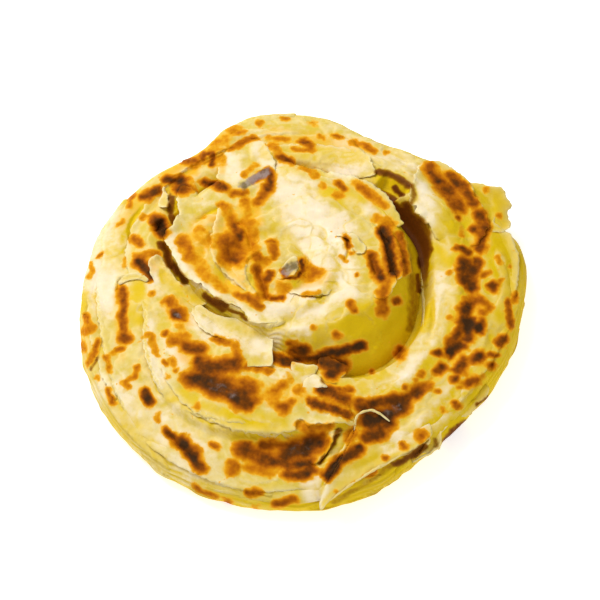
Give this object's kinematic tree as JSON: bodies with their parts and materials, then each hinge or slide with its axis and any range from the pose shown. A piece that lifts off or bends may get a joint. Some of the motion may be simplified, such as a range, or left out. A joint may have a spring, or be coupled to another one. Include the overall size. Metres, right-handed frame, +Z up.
{
  "type": "coiled flaky flatbread",
  "caption": "Round layered flatbread, a rope of thin dough coiled outwards from a raised heart to a tapering end, with browned spots; it rests on a flat underside.",
  "frame": {"origin": "middle of the bounding box in plan, at the height of the flat underside", "axes": "+Z up, out of the spotted top side; +X to the right and +Y away when the tapering outer end lies at the near side"},
  "size_m": [0.1612, 0.1644, 0.0257],
  "materials": {
    "crust": "matt to slightly oily flaky crust, cream with orange-brown and dark brown griddle spots"
  },
  "bodies": {
    "root": {"bread": "crust"}
  },
  "joints": []
}
